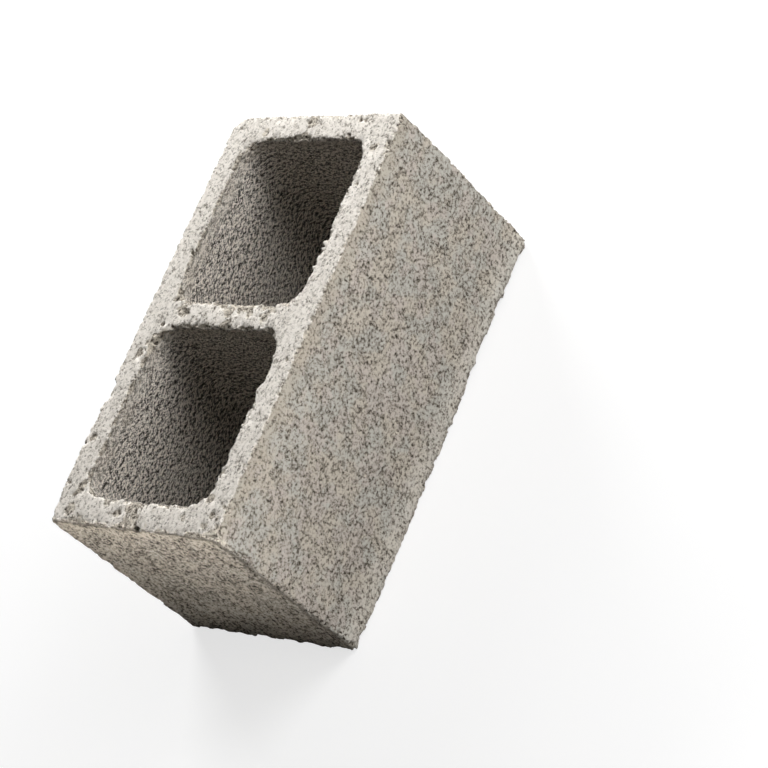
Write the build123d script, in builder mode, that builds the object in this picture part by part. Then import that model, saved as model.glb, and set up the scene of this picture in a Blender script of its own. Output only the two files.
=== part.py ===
import os

from build123d import *

# Hollow concrete block with two cores and plain ends.
# It stands as it was moulded: cores upright, the side that the core bar crossed on top.
# Origin at the middle of the underside, +X along the block, +Z up. Millimetres and degrees.

# Outside sizes
length = 397.0
width = 194.0
height = 194.0

# Wall thicknesses at the top, where the walls are thinnest
shell = 26.0
web = 25.5

# Cores
core_count = 2
core_corner = 24.0
core_draft = 1.0

# Rounded edges
mould_corner = 4.0
arris = 2.0
core_mouth = 1.5

# Mark that the core bar left across the webs, beside the middle of the top
bar_width = 16.5
bar_depth = 1.2
bar_offset = -1.5

core_length = (length - (core_count + 1) * web) / core_count
core_width = width - 2 * shell

with BuildPart() as block:
    # Solid block, as wide and long as the mould box
    with BuildSketch(Plane.XY):
        RectangleRounded(length, width, mould_corner)
    extrude(amount=height)

    # Cores, narrower towards the underside so that they could be drawn out
    with BuildSketch(Plane.XY.offset(height)):
        with GridLocations(core_length + web, 0, core_count, 1):
            RectangleRounded(core_length, core_width, core_corner)
    extrude(amount=-height, taper=core_draft, mode=Mode.SUBTRACT)

    # Outside edges of the top and the underside
    beds = block.faces().filter_by(Plane.XY)
    fillet([edge for bed in beds for edge in bed.outer_wire().edges()], arris)

    # Mouths of the cores
    beds = block.faces().filter_by(Plane.XY)
    mouths = [wire for bed in beds for wire in bed.inner_wires()]
    fillet([edge for mouth in mouths for edge in mouth.edges()], core_mouth)

    # Core bar mark, from end to end
    with BuildSketch(Plane.XY.offset(height)):
        with Locations((0, bar_offset)):
            Rectangle(length, bar_width)
    extrude(amount=-bar_depth, mode=Mode.SUBTRACT)

block.part.label = "concrete_block"
os.makedirs("parts", exist_ok=True)
export_step(block.part, "parts/concrete_block.step")
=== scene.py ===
import itertools
import math

import bpy
import numpy as np
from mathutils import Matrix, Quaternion, Vector


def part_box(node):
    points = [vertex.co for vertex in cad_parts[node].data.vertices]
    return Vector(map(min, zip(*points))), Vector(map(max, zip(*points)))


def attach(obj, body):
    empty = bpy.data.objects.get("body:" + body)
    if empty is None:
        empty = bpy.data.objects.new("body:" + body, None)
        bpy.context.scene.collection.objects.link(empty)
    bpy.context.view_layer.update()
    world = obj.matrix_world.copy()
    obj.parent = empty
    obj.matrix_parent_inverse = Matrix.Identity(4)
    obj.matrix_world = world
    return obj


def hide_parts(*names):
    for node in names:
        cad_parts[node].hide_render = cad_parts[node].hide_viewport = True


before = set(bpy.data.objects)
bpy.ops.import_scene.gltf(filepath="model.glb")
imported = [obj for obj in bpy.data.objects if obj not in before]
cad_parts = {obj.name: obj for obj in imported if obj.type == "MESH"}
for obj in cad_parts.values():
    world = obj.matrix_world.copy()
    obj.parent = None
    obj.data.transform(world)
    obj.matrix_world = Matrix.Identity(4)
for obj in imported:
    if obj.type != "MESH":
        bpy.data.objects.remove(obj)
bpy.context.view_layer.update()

# Hollow concrete block, upright as it was moulded, in the camera position of the photograph.
# Metres; X runs along the block, Z up its cores.

MM = 0.001

# The block's own sizes
low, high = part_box("concrete_block")
LENGTH, WIDTH, HEIGHT = high - low
SHELL = 26 * MM
WEB = 25.5 * MM
CORES = 2
CORE_CORNER = 24 * MM
CORE_DRAFT = math.tan(math.radians(1))

CORE_LENGTH = (LENGTH - (CORES + 1) * WEB) / CORES
CORE_WIDTH = WIDTH - 2 * SHELL
CORE_PITCH = CORE_LENGTH + WEB

# How finely the cast surface is meshed
GRID = 0.95 * MM
MOST_TRIANGLES = 196_000

# How far the worn surface may lie below and above the cast form, and the rounds that find it
DEEPEST = 9 * MM
HIGHEST = 3 * MM
ROUNDS = 10

# Rounding of the upright edges, of the beds' outer edges and of the cores' mouths, in millimetres
UPRIGHT_RADIUS = 3.4
ARRIS_RADIUS = 1.9
MOUTH_RADIUS = 1.2

# How much each of those edges has usually lost, in millimetres
UPRIGHT_LOSS = 2.2
ARRIS_LOSS = 1.2
MOUTH_LOSS = 1.4

# The corners above the +X end are rounder, in millimetres: place and reach
ROUND_CORNERS = [
    ((198.5, 97, 194), 30),
    ((198.5, -97, 194), 22),
]

# What has broken off the edges: sizes, and the millimetres that each takes with it
FLAKE_SIZE = 7.5 * MM
CHUNK_SIZE = 4.2 * MM
CRUMB_SIZE = 2.4 * MM
FLAKE_LOSS = 1.3
CHUNK_LOSS = 1.9
CRUMB_LOSS = 0.9
GAP_LOSS = 0.4

# Longer stretches of the edges that are crumbly, and bites out of them
CRUMBLY_SIZE = 18 * MM
BITE_SIZE = 26 * MM
BITE_LOSS = 4.5

# The ragged border of a worn place: the size of its bays, how ragged it is, and the firm share inside
BAY_SIZE = 6 * MM
RAGGED = 0.35
FIRM = 0.7

# How deep the skin of the top goes
SKIN_DEPTH = 6 * MM

# The relief of the open concrete
GRAIN_SIZE = 3.8 * MM
CRUMBS_SIZE = 3.4 * MM
GRAVEL_SIZE = 4.5 * MM
SWELL_SIZE = 60 * MM
AIR_SPACING = 23 * MM
AIR_RADIUS = 2.1 * MM

# The crack across the web at the -X end
CRACK_Y = -5.5 * MM
CRACK_WANDER = 2.4 * MM
CRACK_END_X = -172 * MM
CRACK_FADE = 4 * MM


# Noise fields

def scatter(cells, seed):
    """A steady random number from 0 to 1 for each whole cell."""
    i, j, k = (cells[:, axis].astype(np.uint32) for axis in range(3))
    h = i * np.uint32(374761393) + j * np.uint32(668265263) + k * np.uint32(2246822519)
    h = h + np.uint32(seed * 40503 + 977)
    for shift in (15, 13):
        h = (h ^ (h >> np.uint32(shift))) * np.uint32(2654435769)
    return (h >> np.uint32(8)) / float(1 << 24)


def drift(points, size, seed):
    """Smooth noise from -1 to 1 that changes over this size."""
    at = points / size
    cell = np.floor(at).astype(np.int64)
    part = at - cell
    part = part ** 3 * (part * (part * 6 - 15) + 10)
    total = 0
    for step in itertools.product((0, 1), repeat=3):
        share = np.prod(np.where(np.array(step) == 1, part, 1 - part), axis=1)
        total = total + share * scatter(cell + np.array(step), seed)
    return 2 * total - 1


def layers(points, size, seed, count=3):
    """Noise from about -1 to 1 with finer and finer layers."""
    usual_reach = 1.4
    total = sum(drift(points, size / 2 ** n, seed + n) / 2 ** n for n in range(count))
    return total / usual_reach


def grains(points, size, seed):
    """The distance to the nearest of many scattered grains, in grain sizes, and that grain's own number."""
    at = points / size
    cell = np.floor(at).astype(np.int64)
    nearest = np.full(len(points), 9.0)
    number = np.zeros(len(points))
    for step in itertools.product((-1, 0, 1), repeat=3):
        beside = cell + np.array(step)
        middle = beside + np.stack([scatter(beside, seed + axis) for axis in range(3)], axis=1)
        away = np.linalg.norm(middle - at, axis=1)
        closer = away < nearest
        nearest = np.where(closer, away, nearest)
        number = np.where(closer, scatter(beside, seed + 3), number)
    return nearest, number


def ramp(value, start, end):
    """0 at start and 1 at end, easing at both."""
    t = np.clip((value - start) / (end - start), 0, 1)
    return t * t * (3 - 2 * t)


# The cast form, as a distance field: negative inside the concrete

def worn_edge(a, b, radius, loss):
    """The solid inside both a and b, with the edge between them rounded and broken back."""
    inside = np.minimum(np.maximum(a, b), -radius)
    rounded = inside + np.hypot(np.maximum(a + radius, 0), np.maximum(b + radius, 0))
    return np.maximum(rounded, (a + b) * math.sqrt(0.5) + loss)


def core_field(p):
    """The distance from the core's wall, negative in the core's hollow."""
    draft = (HEIGHT - p[:, 2]) * CORE_DRAFT
    corner = CORE_CORNER - draft
    from_middle = np.abs(np.abs(p[:, 0]) - CORE_PITCH / 2)
    across_x = from_middle - (CORE_LENGTH / 2 - CORE_CORNER)
    across_y = np.abs(p[:, 1]) - (CORE_WIDTH / 2 - CORE_CORNER)
    corner_part = np.hypot(np.maximum(across_x, 0), np.maximum(across_y, 0))
    return corner_part + np.minimum(np.maximum(across_x, across_y), 0) - corner


def faces_of(p):
    """The distance outside each pair of the mould box's faces: ends, sides and beds."""
    ends = np.abs(p[:, 0]) - LENGTH / 2
    sides = np.abs(p[:, 1]) - WIDTH / 2
    beds = np.abs(p[:, 2] - HEIGHT / 2) - HEIGHT / 2
    return ends, sides, beds


def block_field(p, radii, losses=(0, 0, 0)):
    """The whole block, with a radius and a loss for its upright edges, bed edges and core mouths."""
    ends, sides, beds = faces_of(p)
    outside = worn_edge(ends, sides, radii[0], losses[0])
    outside = worn_edge(outside, beds, radii[1], losses[1])
    return worn_edge(outside, -core_field(p), radii[2], losses[2])


# Edges broken away, in millimetres: x, y, z, reach and how much is lost
CHIPS = [
    # Top edge of the +Y side
    (-76, 97, 194, 13, 4.2),
    (-100, 97, 194, 6, 2.2),
    (118, 97, 194, 7, 2.0),
    # Foot of the -X end
    (-198, 80, 0, 7, 2.6),
    (-198, 61, 0, 9, 3.2),
    (-198, 36, 0, 6, 2.6),
    (-198, 10, 0, 10, 3.6),
    (-198, -20, 0, 7, 2.8),
    (-198, -46, 0, 9, 3.4),
    (-198, -80, 0, 8, 3.2),
    # Top edge of the -X end, and its corner with the -Y side
    (-198, 62, 194, 13, 3.2),
    (-198, 34, 194, 10, 2.6),
    (-198, 12, 194, 9, 3.0),
    (-198, -7, 194, 6, 4.6),
    (-198, -38, 194, 9, 2.4),
    (-198, -72, 194, 12, 3.4),
    (-196, -92, 192, 12, 4.6),
    (-190, -97, 182, 9, 3.8),
    # Upright edge between the -X end and the +Y side
    (-198, 97, 150, 7, 3.4),
    (-198, 97, 118, 9, 3.8),
    (-198, 97, 84, 6, 3.2),
    (-198, 97, 52, 10, 4.2),
    (-198, 97, 24, 7, 3.4),
    # Foot of the -Y side
    (62, -97, 0, 12, 3.4),
    (88, -97, 0, 16, 4.4),
    (112, -97, 0, 12, 3.4),
    (131, -97, 0, 12, 4.6),
    (152, -97, 0, 14, 3.4),
    (174, -97, 0, 14, 4.0),
    # Upright edge between the +X end and the -Y side, and the corners above the +X end
    (198, -97, 182, 7, 2.6),
    (198, -97, 164, 8, 3.0),
    (198, -97, 12, 7, 2.4),
    (193, -97, 194, 5, 3.4),
    (198, 97, 194, 12, 4.0),
    # Mouths of the cores
    (30, -66, 194, 9, 3.0),
    (14, -60, 194, 6, 2.4),
    (-172, -4, 194, 8, 4.0),
    (174, 14, 194, 6, 3.0),
    (-30, 64, 194, 13, 3.6),
    (20, 62, 194, 9, 3.4),
    (-132, 71, 194, 5, 2.8),
    (-125, 71, 194, 5, 3.0),
    (-104, 71, 194, 4, 2.6),
    (-73, 71, 194, 6, 3.2),
    (-47, 71, 194, 5, 3.0),
    (53, 71, 194, 5, 2.8),
    (78, 71, 194, 4, 2.4),
    (112, 71, 194, 6, 3.0),
    (129, 71, 194, 4, 2.4),
    (147, 71, 194, 6, 3.2),
    (-50, -71, 194, 12, 3.0),
    (43, -71, 194, 5, 4.0),
    (-131, -71, 194, 6, 3.2),
    # Both edges of the middle web
    (12, 30, 194, 7, 2.4),
    (12, 10, 194, 8, 2.6),
    (12, -10, 194, 9, 3.0),
    (12, -26, 194, 7, 2.6),
    (12, -42, 194, 8, 3.4),
    (-13, 20, 194, 6, 2.4),
    (-13, -6, 194, 7, 2.6),
    (-15, -56, 194, 6, 2.8),
]

# Where the smooth skin of the top has crumbled away, in millimetres: x, y and reach
CRUMBLED = [
    # Web at the -X end
    (-194, 4, 9),
    (-185, 5, 11),
    (-176, 3, 9),
    (-186, 20, 6),
    (-174, 38, 6),
    (-186, 77, 6),
    (-168, 77, 7),
    (-163, 52, 7),
    (-189, -80, 5),
    (-178, -83, 5),
    (-166, -73, 6),
    (-169, -92, 4),
    (-184, -54, 4),
    # Middle web, and the shells beside it
    (-27, 72, 9),
    (-22, 62, 8),
    (-38, 80, 5),
    (3, 52, 9),
    (12, 47, 8),
    (20, 61, 9),
    (-8, -3, 7),
    (2, -1, 8),
    (9, -4, 7),
    (10, 8, 8),
    (12, -14, 9),
    (13, -25, 9),
    (13, -36, 9),
    (2, -28, 6),
    (-1, -44, 5),
    (13, -47, 9),
    (18, -57, 9),
    (24, -64, 7),
    (-12, 22, 5),
    (-13, -56, 6),
    # Web at the +X end
    (156, 67, 8),
    (165, 63, 7),
    (181, 53, 5),
    (192, 1, 7),
    (177, 6, 6),
    (164, -80, 5),
    (169, -94, 7),
    # Face shell on the +Y side
    (-122, 89, 5),
]

# Holes, in millimetres: x, y, z and radius
HOLES = [
    # Top
    (15, 67, 194, 2.6),
    (191, 7, 194, 2.6),
    (173.5, 14, 194, 1.8),
    (192, -51, 194, 2.6),
    (191, -57, 194, 2.2),
    (128.5, -79, 194, 2.2),
    (-133.5, -93, 194, 1.9),
    (-93.5, -81, 194, 1.2),
    (194, -95, 194, 3.2),
    (3, -12, 194, 1.8),
    (7, -25, 194, 1.6),
    (1, -38, 194, 1.4),
    (5, -52, 194, 1.8),
    # -Y side
    (-123.5, -97, 145, 1.9),
    (-116, -97, 142.5, 1.7),
    (-88.5, -97, 168, 2.0),
    (64, -97, 151, 2.4),
    (-25, -97, 101, 1.9),
    (-58.5, -97, 80, 1.9),
    (-73.5, -97, 71, 1.8),
    (53, -97, 96.5, 1.7),
    (-142, -97, 34, 1.8),
    (-116, -97, 47.5, 2.1),
    # -X end
    (-198.5, 30, 145, 2.0),
    (-198.5, -20, 118, 1.8),
]


# Wear

def within(p, place, reach):
    """1 around a place and 0 beyond this reach, with a ragged border."""
    middle = np.array(place) * MM
    away = np.linalg.norm(p - middle, axis=1)
    found = np.zeros(len(p))
    close = away < 1.5 * reach * MM
    ragged = 1 + RAGGED * layers(p[close], BAY_SIZE, seed=201)
    found[close] = ramp(away[close] * ragged, reach * MM, FIRM * reach * MM)
    return found


def edge_losses(p):
    """How far each kind of edge is broken back from sharp."""
    flake_away, flake = grains(p, FLAKE_SIZE, seed=7)
    chunk_away, chunk = grains(p, CHUNK_SIZE, seed=11)
    crumb_away, crumb = grains(p, CRUMB_SIZE, seed=15)
    lumps = FLAKE_LOSS * (flake ** 2 - 0.3) + CHUNK_LOSS * (chunk ** 2 - 0.25) + CRUMB_LOSS * (crumb - 0.5)
    lumps = lumps + GAP_LOSS * (flake_away + chunk_away + crumb_away) - 0.3

    crumbly = ramp(layers(p, CRUMBLY_SIZE, seed=19, count=2), -0.5, 0.4)
    bites = np.maximum(layers(p, BITE_SIZE, seed=31, count=2) - 0.3, 0)
    rough = lumps * (0.45 + 0.75 * crumbly) + 1.1 * (crumb - 0.5) + BITE_LOSS * bites
    foot = ramp(p[:, 2], 30 * MM, 10 * MM)

    chipped = np.zeros(len(p))
    for *place, reach, lost in CHIPS:
        chipped = np.maximum(chipped, within(p, place, reach) * lost)
    chipped = chipped + 0.6 * lumps * (chipped > 0.5)

    upright = np.maximum(UPRIGHT_LOSS + 1.3 * rough, chipped)
    arris = np.maximum(ARRIS_LOSS + rough * (0.9 + 0.1 * foot), chipped)
    mouth = np.maximum(MOUTH_LOSS + 1.2 * rough, chipped)
    return upright * MM, arris * MM, mouth * MM


def edge_radii(p):
    """The rounding of each kind of edge, more at the rounder corners."""
    wander = layers(p, 22 * MM, seed=41, count=2)
    far_corner = sum(within(p, place, reach) for place, reach in ROUND_CORNERS)
    upright = UPRIGHT_RADIUS + 1.0 * wander + 3.5 * far_corner
    arris = ARRIS_RADIUS + 0.7 * wander + 1.5 * far_corner
    mouth = MOUTH_RADIUS + 0.5 * wander
    return upright * MM, arris * MM, mouth * MM


def crumbled(p):
    """How far the skin of the top has crumbled away, from 0 to 1: a little more on the -X web."""
    found = np.zeros(len(p))
    top = p[:, 2] > HEIGHT - SKIN_DEPTH
    some = p[top] / MM
    level = np.full(len(some), -0.5)
    for x, y, reach in CRUMBLED:
        away = np.hypot(some[:, 0] - x, some[:, 1] - y) / reach
        level = np.maximum(level, 1 - away)
    rough_web = ramp(-some[:, 0], 150, 172)
    bays = layers(p[top], BAY_SIZE, seed=57, count=4)
    level = np.maximum(level, 0.35 * rough_web - 0.5) + 0.8 * bays
    found[top] = ramp(level, 0.15, 0.45)
    return found


# Relief

def holes(p):
    """How deep the larger holes are cut."""
    depth = np.zeros(len(p))
    for *place, radius in HOLES:
        middle = np.array(place) * MM
        close = np.linalg.norm(p - middle, axis=1) < 3 * radius * MM
        some = p[close]
        away = np.linalg.norm(some - middle, axis=1) * (1 + 0.4 * drift(some, 1.8 * MM, seed=61))
        hole = ramp(away, 1.2 * radius * MM, 0.25 * radius * MM) * radius * MM
        depth[close] = np.maximum(depth[close], hole)
    return depth


def air_holes(p, spacing, radius, seed):
    """How deep small holes are cut that lie anywhere in the concrete."""
    away, number = grains(p, spacing, seed)
    reach = radius * (0.4 + 0.9 * number ** 2)
    return ramp(away * spacing, 1.2 * reach, 0.3 * reach) * reach


def crack(p, crumbs):
    """How deep the crack across the web at the -X end is, in millimetres."""
    middle = CRACK_Y + CRACK_WANDER * layers(p, 7 * MM, seed=97)
    beside = (p[:, 1] - middle) / MM
    gap = ramp(beside, -1.0, 0.0) * ramp(beside + 1.6 * crumbs, 3.2, 0.8)
    on_top = ramp(p[:, 2], HEIGHT - SKIN_DEPTH, HEIGHT - SKIN_DEPTH / 2)
    along = ramp(p[:, 0], CRACK_END_X + CRACK_FADE, CRACK_END_X)
    return gap * on_top * along * (2.6 + 1.4 * crumbs)


def relief(p):
    """How far the grain, crumbs and holes are cut below the cast surface."""
    beds = faces_of(p)[2]
    core = ramp(core_field(p), 7 * MM, 2 * MM) * ramp(beds, 0, -5 * MM)
    shallow = ramp(p[:, 2], HEIGHT - 60 * MM, HEIGHT - 20 * MM)
    edge = ramp(block_field(p, (6 * MM,) * 3), 0, 1.2 * MM)

    away, number = grains(p, GRAIN_SIZE, seed=71)
    grain = np.clip(away, 0, 1.1) ** 2 * (0.5 + 0.9 * number)
    crumbs = layers(p, CRUMBS_SIZE, seed=81, count=2)
    swell = layers(p, SWELL_SIZE, seed=91, count=2)
    gravel = layers(p, GRAVEL_SIZE, seed=95)

    cut = 0.3 * swell + (0.03 + 0.48 * edge) * gravel
    cut = cut + core * (0.5 + 0.5 * shallow) * (1.3 * grain + 0.4 * crumbs - 0.4)
    cut = cut + crumbled(p) * (0.3 + 1.3 * grain + 1.1 * crumbs)
    cut = cut + crack(p, crumbs)
    air = air_holes(p, AIR_SPACING, AIR_RADIUS, seed=105) * (1 - core)
    return cut * MM + np.maximum(air, holes(p))


# The mesh

# The rounding that the way outward follows, and the step that finds it
SOFT_TURN = 9 * MM
SLOPE_STEP = 0.5 * MM


def fine_surface(node):
    """A copy of the CAD solid's surface in even, small faces."""
    source = bpy.data.objects.new("cast_surface", node.data.copy())
    bpy.context.scene.collection.objects.link(source)
    remesh = source.modifiers.new("even", "REMESH")
    remesh.mode = "VOXEL"
    remesh.voxel_size = GRID
    graph = bpy.context.evaluated_depsgraph_get()
    mesh = bpy.data.meshes.new_from_object(source.evaluated_get(graph))
    bpy.data.objects.remove(source)
    return mesh


def places(mesh):
    found = np.empty(len(mesh.vertices) * 3)
    mesh.vertices.foreach_get("co", found)
    return found.reshape(-1, 3)


def outward(p):
    """The way out of the block at each point, turning gently round its edges."""
    soft = (SOFT_TURN,) * 3
    slopes = []
    for axis in range(3):
        ahead = p.copy()
        ahead[:, axis] += SLOPE_STEP
        behind = p.copy()
        behind[:, axis] -= SLOPE_STEP
        slopes.append(block_field(ahead, soft) - block_field(behind, soft))
    way = np.stack(slopes, axis=1)
    return way / np.linalg.norm(way, axis=1, keepdims=True)


def worn_surface(p):
    """The points moved onto the worn block's surface."""
    way = outward(p)
    radii = edge_radii(p)
    losses = edge_losses(p)
    moved = np.zeros(len(p))
    for _ in range(ROUNDS):
        moved -= block_field(p + moved[:, None] * way, radii, losses)
        moved = np.clip(moved, -DEEPEST, HIGHEST)
    settled = p + moved[:, None] * way
    return settled - relief(settled)[:, None] * way


def thin_out(mesh, most):
    """The same surface in fewer triangles, kept small where it is rough."""
    holder = bpy.data.objects.new("concrete", mesh)
    bpy.context.scene.collection.objects.link(holder)
    triangles = sum(len(face.vertices) - 2 for face in mesh.polygons)
    fewer = holder.modifiers.new("fewer", "DECIMATE")
    fewer.ratio = min(1, most / triangles)
    fewer.use_collapse_triangulate = True
    graph = bpy.context.evaluated_depsgraph_get()
    thinned = bpy.data.meshes.new_from_object(holder.evaluated_get(graph))
    holder.modifiers.clear()
    holder.data = thinned
    return holder


def cast_block(node):
    mesh = fine_surface(node)
    mesh.vertices.foreach_set("co", worn_surface(places(mesh)).ravel())
    mesh.update()
    block = thin_out(mesh, MOST_TRIANGLES)
    block.data.shade_smooth()
    return block


def set_masks(block):
    """What kind of surface each point of the block is, for its finish."""
    p = places(block.data)
    ends = faces_of(p)[0]
    nominal = (UPRIGHT_RADIUS * MM, ARRIS_RADIUS * MM, MOUTH_RADIUS * MM)
    masks = {
        "core_distance": np.clip(core_field(p) / MM, -5, 5),
        "wear": -block_field(p, nominal) / MM,
        "cut": -block_field(p, edge_radii(p), edge_losses(p)) / MM,
        "end": ramp(ends, -1.5 * MM, -0.5 * MM) * ramp(-p[:, 0], 0, 1 * MM),
        "loose": crumbled(p),
    }
    for name, values in masks.items():
        mask = block.data.attributes.new(name, "FLOAT", "POINT")
        mask.data.foreach_set("value", values.astype(np.float32))


# The flat map on which the finish can be drawn

# The side of its square, the gaps in it, and how near to its core's wall a face belongs to the core
MAP_SIDE = 800 * MM
MAP_GAP = 4 * MM
CORE_WALL = 12 * MM


def round_the_core(p):
    """How far round its core each point is from the middle of the +X wall, and the whole way round."""
    straight_x = CORE_LENGTH / 2 - CORE_CORNER
    straight_y = CORE_WIDTH / 2 - CORE_CORNER
    bend = CORE_CORNER * math.pi / 2
    quarter_way = straight_y + bend + straight_x

    x = p[:, 0] - np.sign(p[:, 0]) * CORE_PITCH / 2
    y = p[:, 1]
    past_x = np.abs(x) - straight_x
    past_y = np.abs(y) - straight_y
    turn = np.arctan2(np.maximum(past_y, 0), np.maximum(past_x, 1e-9)) * CORE_CORNER
    along_x_wall = np.minimum(np.abs(y), straight_y)
    along_y_wall = quarter_way - np.minimum(np.abs(x), straight_x)
    here = np.where(past_x > past_y, along_x_wall, along_y_wall)
    here = np.where((past_x > 0) & (past_y > 0), straight_y + turn, here)
    here = np.where(x >= 0, here, 2 * quarter_way - here)
    return np.where(y >= 0, here, -here), 4 * quarter_way


def lay_out(block):
    """Draws each face where it has its own place in the map, and the cores unrolled."""
    mesh = block.data
    corners = np.empty(len(mesh.loops), dtype=np.int32)
    mesh.loops.foreach_get("vertex_index", corners)
    p = places(mesh)
    middle = p[corners.reshape(-1, 3)].mean(axis=1)
    way = outward(middle)
    to_bed = HEIGHT / 2 - np.abs(middle[:, 2] - HEIGHT / 2)
    in_core = np.abs(core_field(middle)) < np.minimum(to_bed, CORE_WALL)
    facing = np.argmax(np.abs(way), axis=1)
    forward = way[np.arange(len(way)), facing] > 0

    x, y, z = (p[corners][:, axis] for axis in range(3))
    flat = np.zeros((len(corners), 2))

    def put(chosen, across, up, left, bottom):
        picked = np.repeat(chosen, 3)
        flat[picked, 0] = across[picked] + left
        flat[picked, 1] = up[picked] + bottom

    row = HEIGHT + MAP_GAP
    first = MAP_GAP / 2
    second = LENGTH + 1.5 * MAP_GAP
    third = second + row
    outer_faces = [
        (1, False, x + LENGTH / 2, z, first, MAP_GAP),
        (1, True, LENGTH / 2 - x, z, first, MAP_GAP + row),
        (2, True, x + LENGTH / 2, y + WIDTH / 2, first, MAP_GAP + 2 * row),
        (2, False, x + LENGTH / 2, WIDTH / 2 - y, first, MAP_GAP + 3 * row),
        (0, False, WIDTH / 2 - y, z, second, MAP_GAP),
        (0, True, y + WIDTH / 2, z, third, MAP_GAP),
    ]
    for axis, ahead, across, up, left, bottom in outer_faces:
        put(~in_core & (facing == axis) & (forward == ahead), across, up, left, bottom)

    here, whole = round_the_core(p[corners])
    centre = round_the_core(middle)[0]
    laps = np.round((here - np.repeat(centre, 3)) / whole)
    here = here - whole * laps + whole / 2
    put(in_core & (middle[:, 0] < 0), z, here, second, MAP_GAP + row)
    put(in_core & (middle[:, 0] > 0), z, here, third, MAP_GAP + row)
    drawn = mesh.uv_layers.new(name="OFBake")
    drawn.uv.foreach_set("vector", (flat / MAP_SIDE).astype(np.float32).ravel())


# Tools of the finish

class Wave:
    """A socket of the finish, for maths written as maths."""

    def __init__(self, nodes, socket):
        self.nodes = nodes
        self.socket = socket

    def maths(self, operation, first, second):
        return self.nodes.add("Math", {"operation": operation}, {0: first, 1: second})

    def __add__(self, other):
        return self.maths("ADD", self, other)

    def __sub__(self, other):
        return self.maths("SUBTRACT", self, other)

    def __mul__(self, other):
        return self.maths("MULTIPLY", self, other)

    def __radd__(self, other):
        return self.maths("ADD", other, self)

    def __rsub__(self, other):
        return self.maths("SUBTRACT", other, self)

    def __rmul__(self, other):
        return self.maths("MULTIPLY", other, self)


class Nodes:
    """The nodes of one material or of the world."""

    def __init__(self, owner):
        owner.use_nodes = True
        self.tree = owner.node_tree
        self.tree.nodes.clear()

    def add(self, kind, settings=None, inputs=None, output=0):
        """Adds a node: its settings first, then the values or links of its sockets."""
        node = self.tree.nodes.new("ShaderNode" + kind)
        for name, value in (settings or {}).items():
            setattr(node, name, value)
        for name, value in (inputs or {}).items():
            if isinstance(value, Wave):
                self.tree.links.new(value.socket, node.inputs[name])
            else:
                node.inputs[name].default_value = value
        return Wave(self, node.outputs[output]) if node.outputs else node

    def mix(self, share, first, second):
        """From the first colour to the second."""
        return self.add("Mix", {"data_type": "RGBA"}, {0: share, 6: first, 7: second}, output=2)

    def step(self, value, start, end):
        """0 at start and 1 at end, easing at both."""
        settings = {"interpolation_type": "SMOOTHSTEP"}
        return self.add("MapRange", settings, {"Value": value, "From Min": start, "From Max": end})

    def noise(self, at, size, detail=2.0, rough=0.5):
        """Noise from 0 to 1 that changes over this size."""
        inputs = {"Vector": at, "Scale": 1 / size, "Detail": detail, "Roughness": rough}
        return self.add("TexNoise", inputs=inputs, output="Fac")

    def mask(self, name):
        return self.add("Attribute", {"attribute_name": name}, output="Fac")

    def vectors(self, operation, inputs, output="Vector"):
        return self.add("VectorMath", {"operation": operation}, inputs, output)


def srgb(red, green, blue):
    """A colour from 0 to 255 as light."""
    linear = [((v / 255 + 0.055) / 1.055) ** 2.4 if v > 10 else v / 3295 for v in (red, green, blue)]
    return (*linear, 1.0)


# Finish of the concrete

PASTE_WARM = srgb(204, 195, 181)
PASTE_COOL = srgb(197, 194, 185)
PASTE_PINK = srgb(202, 192, 183)
FOOT_FLOOR_LIGHT = srgb(228, 222, 211)
# The -X end is painted darker and browner: painted shade, with warm light thrown back onto it
END_WARM_SHADE = srgb(180, 167, 148)
SKIN = srgb(246, 240, 231)
SKIN_SHADE = srgb(211, 204, 193)
SKIN_BAND = srgb(190, 180, 163)
BROKEN = srgb(230, 221, 206)
SAND = srgb(140, 131, 118)
PORE = srgb(60, 53, 45)
# Painted light on the tops of the core's grains, and painted shade in the hollows under them
LIT_GRAIN_TOP = srgb(250, 241, 230)
SHADED_POCKET = srgb(38, 33, 28)

# The way that the grain of the -X end runs, and how much longer it is that way
LONG_GRAIN = (0, -0.7071, 0.7071)
LONG_GRAIN_PULL = 0.4

# Sizes of the grain and of the clouds in the colour
FINE_SIZE = 1.0 * MM
FLECK_SIZE = 2.4 * MM
PORE_SIZE = 2.6 * MM
MOTTLE_SIZE = 3.0 * MM
PEBBLE_SIZE = 3.3 * MM
CROWD_SIZE = 12 * MM
BLUSH_SIZE = 15 * MM
CLOUD_SIZE = 26 * MM

# Borders between the kinds of surface: the sizes of their bays, and how far they stray
RAGGED_SIZE = 3.5 * MM
RAGGED_STRAY = 3.0
BAND_BORDER = 16 * MM

# The finer band, down from the top, and the foot, up from the floor, painted paler with light thrown up
# from it: where each starts and is full
BAND_FROM = 18 * MM
BAND_FULL = 8 * MM
FOOT_FROM = 34 * MM
FOOT_FULL = 10 * MM

# How far above each point of a core wall the grain is read, for the painted shade that it throws down on
# that point
OVERHANG = 0.9 * MM

ROUGHNESS = 0.93
SHINE = 0.25
BUMP_HEIGHT = 1.0 * MM


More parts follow.
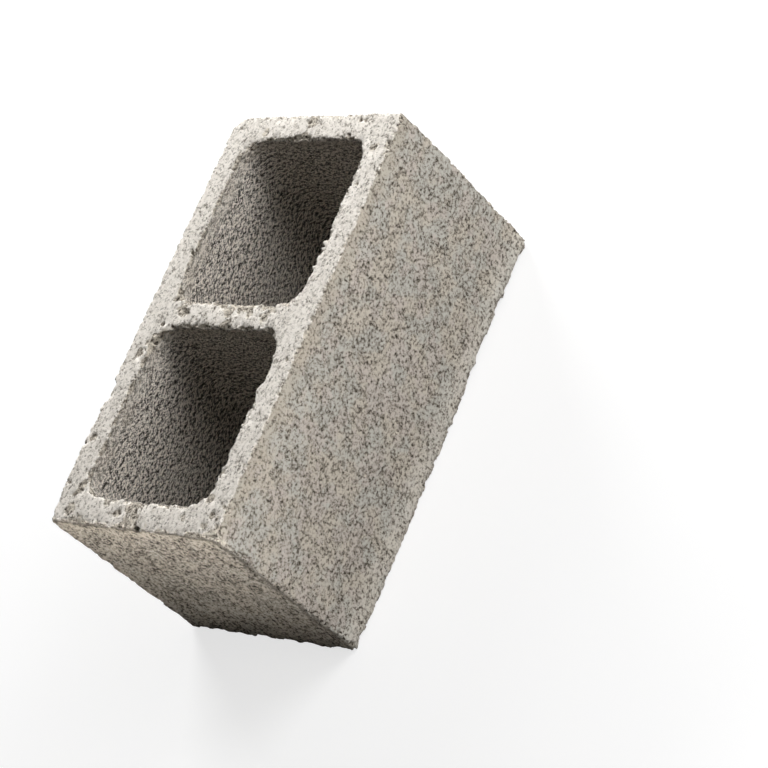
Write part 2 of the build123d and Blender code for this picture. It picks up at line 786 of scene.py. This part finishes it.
class Kinds:
    """Where each kind of surface is, from 0 to 1, and the place that the grain is drawn from."""

    def __init__(self, nodes):
        upright = nodes.add("TexCoord", output="Object")
        z = nodes.add("SeparateXYZ", inputs={"Vector": upright}, output="Z")
        self.end = nodes.mask("end")
        slant = nodes.vectors("DOT_PRODUCT", {0: upright, 1: LONG_GRAIN}, output="Value")
        pull = slant * self.end * LONG_GRAIN_PULL
        shift = nodes.vectors("SCALE", {0: LONG_GRAIN, "Scale": pull})
        at = nodes.vectors("SUBTRACT", {0: upright, 1: shift})
        self.at = at

        # The smooth skin of the beds and the open grain of the cores, with a ragged border
        ragged = RAGGED_STRAY * (nodes.noise(at, RAGGED_SIZE, 4, 0.65) - 0.5)
        top = nodes.step(z + ragged * MM, HEIGHT - 1.3 * MM, HEIGHT - 0.8 * MM)
        self.bed = top + nodes.step(z, 0.6 * MM, 0.2 * MM)
        self.core = nodes.step(nodes.mask("core_distance") + ragged * 0.5, 1.4, 0.7) * (1 - self.bed)

        # Edges worn to bare paste, and painted shade inside holes and deep chips
        self.worn = nodes.step(nodes.mask("wear"), 0.5, 1.2) * (1 - self.core)
        self.deep = nodes.step(nodes.mask("cut"), 1.2, 2.8) * (1 - self.core)

        # The finer band under the top edge, and the foot, painted paler with light thrown up from the floor
        border = BAND_BORDER * (nodes.noise(at, BAND_BORDER, 3) - 0.5)
        self.band = nodes.step(z + border, HEIGHT - BAND_FROM, HEIGHT - BAND_FULL) * (1 - self.bed)
        plain_side = (1 - self.end) * (1 - self.core) * (1 - self.bed)
        self.foot = nodes.step(z + border, FOOT_FROM, FOOT_FULL) * plain_side
        self.open_core = self.core * (1 - 0.35 * self.band)

        # The part of the top's skin that is left, and the part that has crumbled away
        self.flecks = nodes.noise(at, FLECK_SIZE, 4, 0.7)
        loose = nodes.step(nodes.mask("loose") + 1.2 * (self.flecks - 0.5), 0.3, 0.6)
        self.skin = self.bed * (1 - loose)
        self.crumbled = self.bed * loose


def paste_colour(nodes, kinds):
    """Colour of the cement paste, from place to place."""
    clouds = nodes.step(nodes.noise(kinds.at, CLOUD_SIZE), 0.42, 0.58)
    blush = nodes.step(nodes.noise(kinds.at, BLUSH_SIZE), 0.50, 0.60)
    mottle = nodes.step(nodes.noise(kinds.at, MOTTLE_SIZE, 3, 0.6), 0.42, 0.66)
    paste = nodes.mix(clouds, PASTE_WARM, PASTE_COOL)
    paste = nodes.mix(blush * 0.8, paste, PASTE_PINK)
    paste = nodes.mix(kinds.band * (0.6 - 0.3 * kinds.core), paste, SKIN_BAND)
    # Painted light from the floor on the foot of the sides
    paste = nodes.mix(kinds.foot * 0.6, paste, FOOT_FLOOR_LIGHT)
    # Painted shade and warm thrown-back light on the -X end
    paste = nodes.mix(kinds.end * 0.6, paste, END_WARM_SHADE)
    paste = nodes.mix(kinds.skin, paste, nodes.mix(mottle * 0.6, SKIN, SKIN_SHADE))
    paste = nodes.mix(kinds.crumbled * 0.8, paste, BROKEN)
    return nodes.mix(kinds.worn * 0.7, paste, BROKEN)


def sand_and_pores(nodes, kinds):
    """Sand and open pores, closer together in some places than in others."""
    crowd = nodes.step(nodes.noise(kinds.at, CROWD_SIZE), 0.3, 0.7)
    pores = nodes.noise(kinds.at, PORE_SIZE, 4, 0.74)
    dense = 0.05 * crowd - 0.04 * kinds.core - 0.03 * kinds.band + 0.03 * kinds.worn
    dense = dense + 0.04 * kinds.end - 0.02 * kinds.foot
    dense = dense - 0.055 * kinds.skin + 0.01 * kinds.crumbled
    return nodes.step(pores - dense, 0.55, 0.38), nodes.step(pores - dense, 0.43, 0.31)


def core_pebbles(nodes, kinds):
    """Coarse grains of the core walls: dark hollows with painted shade below each grain, and painted light
    on the grain tops that face the mouth.
    """
    above = nodes.vectors("ADD", {0: kinds.at, 1: (0, 0, OVERHANG)})
    pebbles = nodes.noise(kinds.at, PEBBLE_SIZE, 4, 0.72)
    overhang_shade = nodes.noise(above, PEBBLE_SIZE, 4, 0.72) - pebbles
    return pebbles, nodes.step(pebbles - 1.2 * overhang_shade, 0.64, 0.34)


def concrete():
    material = bpy.data.materials.new("cast_concrete")
    nodes = Nodes(material)
    kinds = Kinds(nodes)
    sand, pores = sand_and_pores(nodes, kinds)
    pebbles, painted_pocket_shade = core_pebbles(nodes, kinds)

    colour = nodes.mix(sand * (0.9 - 0.3 * kinds.core), paste_colour(nodes, kinds), SAND)
    colour = nodes.mix(pores, colour, PORE)
    # Core walls: painted light on the grain tops and painted shade in the hollows below them
    colour = nodes.mix(kinds.open_core * 0.95, colour, nodes.mix(painted_pocket_shade, LIT_GRAIN_TOP, SHADED_POCKET))
    # Painted shade inside holes and deep chips
    colour = nodes.mix(kinds.deep * 0.8, colour, PORE)

    fine = nodes.noise(kinds.at, FINE_SIZE, 2, 0.6)
    sunk = (sand + pores) * (0.25 - 0.1 * kinds.bed)
    height = fine * 0.2 + kinds.flecks * 0.3 - sunk + pebbles * kinds.open_core * 3
    bump = nodes.add("Bump", inputs={"Strength": 1.0, "Distance": BUMP_HEIGHT, "Height": height})
    looks = {"Base Color": colour, "Roughness": ROUGHNESS, "Specular IOR Level": SHINE, "Normal": bump}
    surface = nodes.add("BsdfPrincipled", inputs=looks)
    nodes.add("OutputMaterial", inputs={"Surface": surface})
    return material


# Setting

CAMERA_LENS = 123.8
CAMERA_SENSOR = 36
CAMERA_DISTANCE = 2.2769
CAMERA_AIM = Vector((44.2, -12.5, 10.4)) * MM
CAMERA_AZIMUTH = math.radians(-27.836)
CAMERA_ELEVATION = math.radians(40.822)
CAMERA_ROLL = math.radians(47.63)

# The large soft lamps: name, azimuth, elevation and watts
SOFTBOXES = [
    ("front", 8, 12, 12.5),
    ("right", 45, 32, 20.7),
    ("right_high", 45, 55, 6.3),
    ("behind_low", 135, 12, 45),
    ("behind", 135, 32, 16),
]
SOFTBOX_DISTANCE = 2.0
SOFTBOX_SIZE = 1.0
SOFTBOX_AIM = Vector((0, 0, 0.1))

# A narrow lamp on the -X end, kept under the level of the top so that the cores stay dark
END_GLOW_AIM = Vector((-0.2, 0, 0.34))
END_GLOW_WAY = Vector((-0.93, -0.33, -0.16))
END_GLOW_DISTANCE = 1.5
END_GLOW_SIZE = 0.3
END_GLOW_WATTS = 1.15
END_GLOW_SPREAD = 20

# Light thrown up by the floor beside the -X end
FLOOR_GLOW_PLACE = Vector((-0.5685, 0, 0.003))
FLOOR_GLOW_SIZE = 0.6
FLOOR_GLOW_WATTS = 1.0

FLOOR_REACH = 8.0
FLOOR_GREY = (0.35, 0.35, 0.35, 1)
WHITE = (1, 1, 1, 1)
UP = Vector((0, 0, 1))

# How white the floor is beside the block, and how far off it starts to whiten and is fully white
NEAR_WHITE = 0.72
WHITEN_FROM = 0.45
WHITE_BY = 0.95

# The share of its white that the world throws on the block
WORLD_LIGHT = 0.05


def toward(azimuth, elevation):
    """The way to a place at these angles: azimuth 0 is in front of the -Y side, 90 beyond the +X end."""
    level = math.cos(elevation)
    return Vector((math.sin(azimuth) * level, -math.cos(azimuth) * level, math.sin(elevation)))


def place_camera():
    back = toward(CAMERA_AZIMUTH, CAMERA_ELEVATION)
    lens = bpy.data.cameras.new("camera")
    lens.lens = CAMERA_LENS
    lens.sensor_width = CAMERA_SENSOR
    camera = bpy.data.objects.new("camera", lens)
    bpy.context.scene.collection.objects.link(camera)
    camera.rotation_mode = "QUATERNION"
    camera.rotation_quaternion = Quaternion(-back, CAMERA_ROLL) @ (-back).to_track_quat("-Z", "Y")
    camera.location = CAMERA_AIM + back * CAMERA_DISTANCE
    bpy.context.scene.camera = camera


def lamp(name, place, aim, size, watts, spread=180):
    """A square lamp that the camera doesn't see."""
    light = bpy.data.lights.new(name, "AREA")
    light.size = size
    light.energy = watts
    light.spread = math.radians(spread)
    holder = bpy.data.objects.new(name, light)
    bpy.context.scene.collection.objects.link(holder)
    holder.location = place
    holder.rotation_mode = "QUATERNION"
    holder.rotation_quaternion = (aim - place).to_track_quat("-Z", "Y")
    holder.visible_camera = False


def lamps():
    for name, azimuth, elevation, watts in SOFTBOXES:
        way = toward(math.radians(azimuth), math.radians(elevation))
        lamp(name, SOFTBOX_AIM + SOFTBOX_DISTANCE * way, SOFTBOX_AIM, SOFTBOX_SIZE, watts)
    beside_end = END_GLOW_AIM + END_GLOW_DISTANCE * END_GLOW_WAY
    lamp("end_glow", beside_end, END_GLOW_AIM, END_GLOW_SIZE, END_GLOW_WATTS, END_GLOW_SPREAD)
    lamp("floor_glow", FLOOR_GLOW_PLACE, FLOOR_GLOW_PLACE + UP, FLOOR_GLOW_SIZE, FLOOR_GLOW_WATTS)


def white_floor():
    """Grey paper for the light on the block, which the camera sees as white, a little less so near it."""
    material = bpy.data.materials.new("white_floor")
    nodes = Nodes(material)
    place = nodes.add("TexCoord", output="Object")
    from_block = nodes.vectors("LENGTH", {0: place}, output="Value")
    seen = nodes.add("LightPath", output="Is Camera Ray")
    white = NEAR_WHITE + (1 - NEAR_WHITE) * nodes.step(from_block, WHITEN_FROM, WHITE_BY)
    paper = nodes.add("BsdfDiffuse", inputs={"Color": FLOOR_GREY})
    glow = nodes.add("Emission", inputs={"Color": WHITE, "Strength": seen * white})
    both = nodes.add("AddShader", inputs={0: paper, 1: glow})
    nodes.add("OutputMaterial", inputs={"Surface": both})
    return material


def lay_floor():
    sheet = bpy.data.meshes.new("floor")
    reach = FLOOR_REACH
    corners = [(-reach, -reach, 0), (reach, -reach, 0), (reach, reach, 0), (-reach, reach, 0)]
    sheet.from_pydata(corners, [], [(0, 1, 2, 3)])
    sheet.materials.append(white_floor())
    floor = bpy.data.objects.new("floor", sheet)
    bpy.context.scene.collection.objects.link(floor)


def white_world():
    """White for the camera, and a little light for the block."""
    world = bpy.data.worlds.new("studio")
    bpy.context.scene.world = world
    nodes = Nodes(world)
    seen = nodes.add("LightPath", output="Is Camera Ray")
    strength = WORLD_LIGHT + (1 - WORLD_LIGHT) * seen
    sky = nodes.add("Background", inputs={"Color": WHITE, "Strength": strength})
    nodes.add("OutputWorld", inputs={"Surface": sky})


block = cast_block(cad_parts["concrete_block"])
set_masks(block)
lay_out(block)
block.data.materials.clear()
block.data.materials.append(concrete())
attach(block, "root")
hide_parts("concrete_block")

place_camera()
lay_floor()
white_world()
lamps()
bpy.context.scene.view_settings.view_transform = "Standard"
